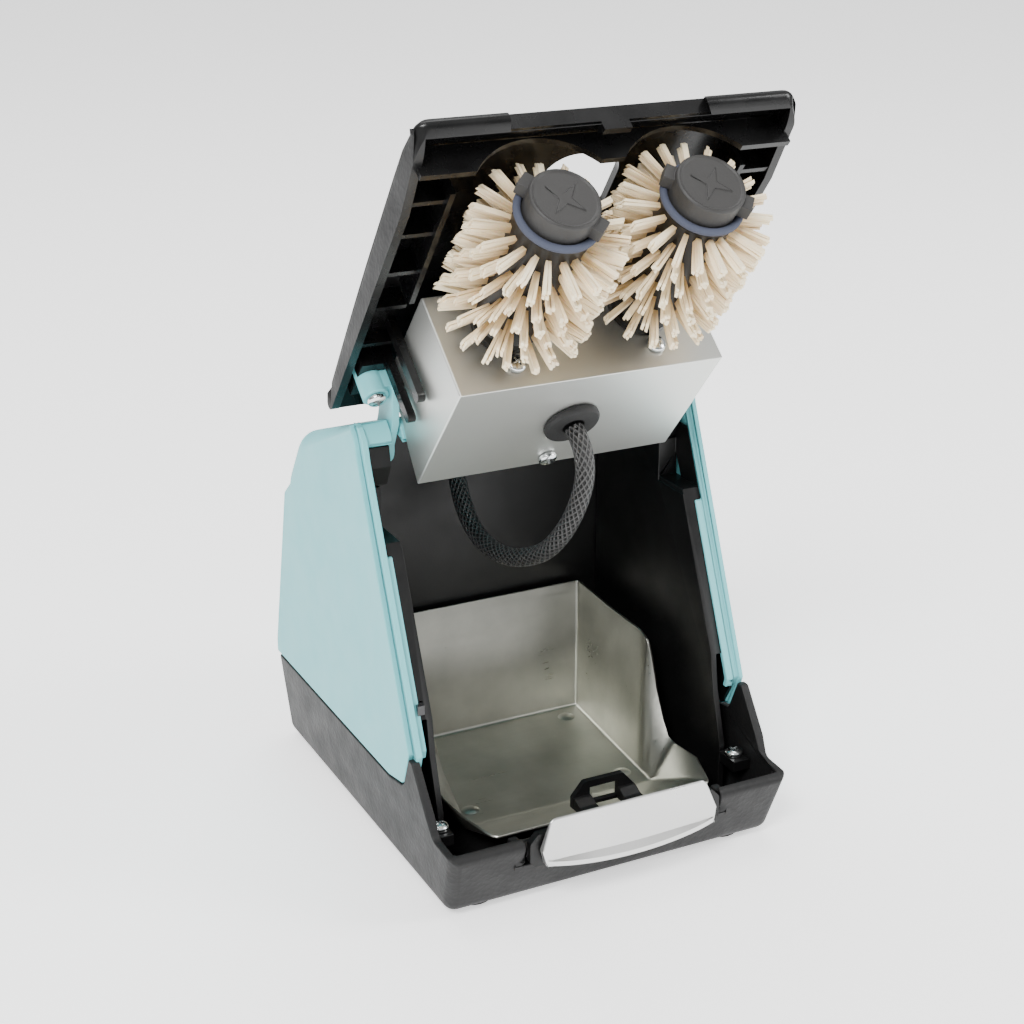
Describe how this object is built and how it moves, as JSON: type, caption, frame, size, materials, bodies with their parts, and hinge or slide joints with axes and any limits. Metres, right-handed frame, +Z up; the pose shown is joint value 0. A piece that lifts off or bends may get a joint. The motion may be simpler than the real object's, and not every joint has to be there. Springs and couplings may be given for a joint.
{
  "type": "soldering tip cleaner",
  "caption": "Bench soldering tip cleaner with motor-driven bristle brushes under a hinged lid, a front latch and a lift-out waste tray.",
  "frame": {"origin": "centre of the bounding box's bottom face, on the bench under the feet, with the lid open", "axes": "+Z up, -Y towards the user (handle side), +X to the user's right"},
  "size_m": [0.1158, 0.148, 0.2303],
  "materials": {
    "black_textured": "fine spark-eroded texture, low sheen",
    "black_smooth": "smooth moulded black, slight sheen",
    "aqua": "satin moulded plastic",
    "galvanised": "bright zinc-plated sheet, soft reflections",
    "tray_steel": "rolled stainless sheet, scuffed",
    "zinc": "bright zinc-plated screw",
    "silver": "satin silver",
    "rubber": "matte black rubber",
    "ring_rubber": "smooth blue-black rubber",
    "bristle": "pale natural fibre bristles with split ends",
    "sleeve": "black braided polyester sleeve",
    "board": "green solder mask",
    "lens": "dark red window of a light sensor",
    "steel": "plain turned steel"
  },
  "bodies": {
    "housing": {"base_tub": "black_textured", "housing_shell": "aqua", "rear_liner": "black_smooth", "cable_gland": "rubber", "rubber_foot_1": "rubber", "rubber_foot_2": "rubber", "rubber_foot_3": "rubber", "rubber_foot_4": "rubber", "frame_screw_left": "zinc", "frame_screw_right": "zinc", "control_board": "board", "power_inlet": "black_smooth", "lid_sensor": "lens", "waste_tray": "tray_steel", "latch_pin": "steel", "latch_spring": "steel", "inner_frame_left": "black_smooth", "inner_frame_right": "black_smooth", "hinge_block_left": "black_smooth", "hinge_block_right": "black_smooth", "hinge_pin_left": "steel", "hinge_pin_right": "steel", "sleeved_cable": "sleeve"},
    "latch": {"latch_carrier": "black_smooth", "handle_cover": "silver"},
    "lid": {"lid_shell": "black_textured", "motor_box": "galvanised", "box_screw_left": "zinc", "box_screw_right": "zinc", "front_screw": "zinc", "motor_plate": "galvanised", "cable_grommet": "rubber", "hinge_arm_left": "aqua", "hinge_arm_right": "aqua", "hinge_screw_left": "zinc", "hinge_screw_right": "zinc", "gear_motor_left": "steel", "gear_motor_right": "steel", "shaft_bush_left": "black_smooth", "shaft_bush_right": "black_smooth"},
    "brush_left": {"brush_spindle_left": "steel", "brush_core_left": "black_smooth", "brush_bristles_left": "bristle", "brush_ring_left": "ring_rubber", "brush_cap_left": "black_smooth"},
    "brush_right": {"brush_spindle_right": "steel", "brush_core_right": "black_smooth", "brush_bristles_right": "bristle", "brush_ring_right": "ring_rubber", "brush_cap_right": "black_smooth"}
  },
  "joints": [
    {"name": "lid_hinge", "type": "hinge", "parent": "housing", "child": "lid", "pos_m": [0, 0.00727, 0.1243], "axis": [1, 0, 0], "range_deg": [0, 116.2], "deforming": ["sleeved_cable"]},
    {"name": "latch_rock", "type": "hinge", "parent": "housing", "child": "latch", "pos_m": [0, -0.06173, 0.0195], "axis": [-1, 0, 0], "range_deg": [0, 8], "stiffness_Nm_per_rad": 0.4, "springref_deg": -5.73},
    {"name": "brush_left_spin", "type": "hinge", "parent": "lid", "child": "brush_left", "pos_m": [-0.0219, 0.00773, 0.12469], "axis": [0, -0.6494, 0.7604], "continuous": true},
    {"name": "brush_right_spin", "type": "hinge", "parent": "lid", "child": "brush_right", "pos_m": [0.0219, 0.00773, 0.12469], "axis": [0, -0.6494, 0.7604], "continuous": true}
  ],
  "couplings": [
    {"joint": "brush_right_spin", "follows": "brush_left_spin", "ratio": -1}
  ]
}
